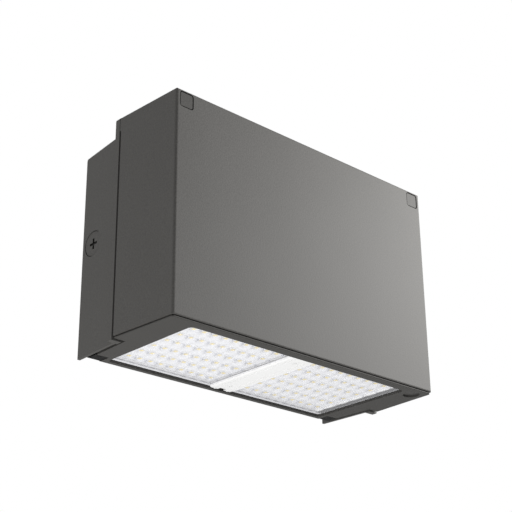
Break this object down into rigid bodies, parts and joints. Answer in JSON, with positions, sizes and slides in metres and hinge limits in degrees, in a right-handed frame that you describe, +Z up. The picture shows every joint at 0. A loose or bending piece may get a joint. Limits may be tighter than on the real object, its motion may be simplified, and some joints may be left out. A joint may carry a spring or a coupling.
{
  "type": "led wall pack light",
  "caption": "Full-cutoff wall pack light: a deep metal door housing with downward light modules hangs on a wall box, with a slim flange, side conduit plugs and square screw covers.",
  "frame": {"origin": "centre of the wire entry, on the wall face of the wall box", "axes": "+Y out of the back of the light into the wall, so the front face looks along -Y; +X to the right for someone who faces the light; +Z up"},
  "size_m": [0.3084, 0.131, 0.201],
  "materials": {
    "paint": "dark bronze powder coat on die-cast aluminium",
    "black_rubber": "matt",
    "foam": "closed-cell foam",
    "nylon": "moulded black",
    "white_plastic": "moulded white",
    "board": "white solder mask",
    "led": "yellow phosphor",
    "lens": "clear polycarbonate",
    "zinc": "zinc plated",
    "earth_green": "green earth screw",
    "driver_case": "painted white case, potted",
    "lead": "insulated wire",
    "vent": "moulded dark grey"
  },
  "bodies": {
    "box": {"back_box": "paint", "door_gasket": "black_rubber", "wall_gasket": "foam", "conduit_plug_left": "paint", "conduit_plug_right": "paint", "conduit_plug_top": "paint", "hinge_pin_left": "zinc", "hinge_pin_right": "zinc", "terminal_block": "white_plastic", "terminal_screws": "zinc", "ground_screw": "earth_green"},
    "door": {"front_housing": "paint", "led_tray": "paint", "tray_screws": "zinc", "led_board_left": "board", "led_board_right": "board", "leds_left": "led", "leds_right": "led", "lens_gasket_left": "white_plastic", "lens_gasket_right": "white_plastic", "lens_left": "lens", "lens_right": "lens", "center_cover": "white_plastic", "cover_screws": "white_plastic", "vent_plug": "vent", "hinge_block_left": "nylon", "hinge_block_right": "nylon", "hinge_screws": "zinc", "driver_bracket": "zinc", "driver": "driver_case", "driver_screws": "zinc", "led_leads": "lead"},
    "screw_left": {"captive_screw_left": "zinc", "screw_retainer_left": "zinc"},
    "screw_right": {"captive_screw_right": "zinc", "screw_retainer_right": "zinc"},
    "cover_left": {"screw_cover_left": "paint"},
    "cover_right": {"screw_cover_right": "paint"}
  },
  "joints": [
    {"name": "door_hinge", "type": "hinge", "parent": "box", "child": "door", "pos_m": [0, -0.0135, -0.0935], "axis": [1, 0, 0], "range_deg": [0, 90]},
    {"name": "captive_screw_left", "type": "slide", "parent": "door", "child": "screw_left", "axis": [0, 1, 0], "range_m": [0, 0.0075]},
    {"name": "captive_screw_right", "type": "slide", "parent": "door", "child": "screw_right", "axis": [0, 1, 0], "range_m": [0, 0.0075]},
    {"name": "screw_cover_left", "type": "slide", "parent": "door", "child": "cover_left", "axis": [0, -1, 0], "range_m": [0, 0.02]},
    {"name": "screw_cover_right", "type": "slide", "parent": "door", "child": "cover_right", "axis": [0, -1, 0], "range_m": [0, 0.02]}
  ]
}
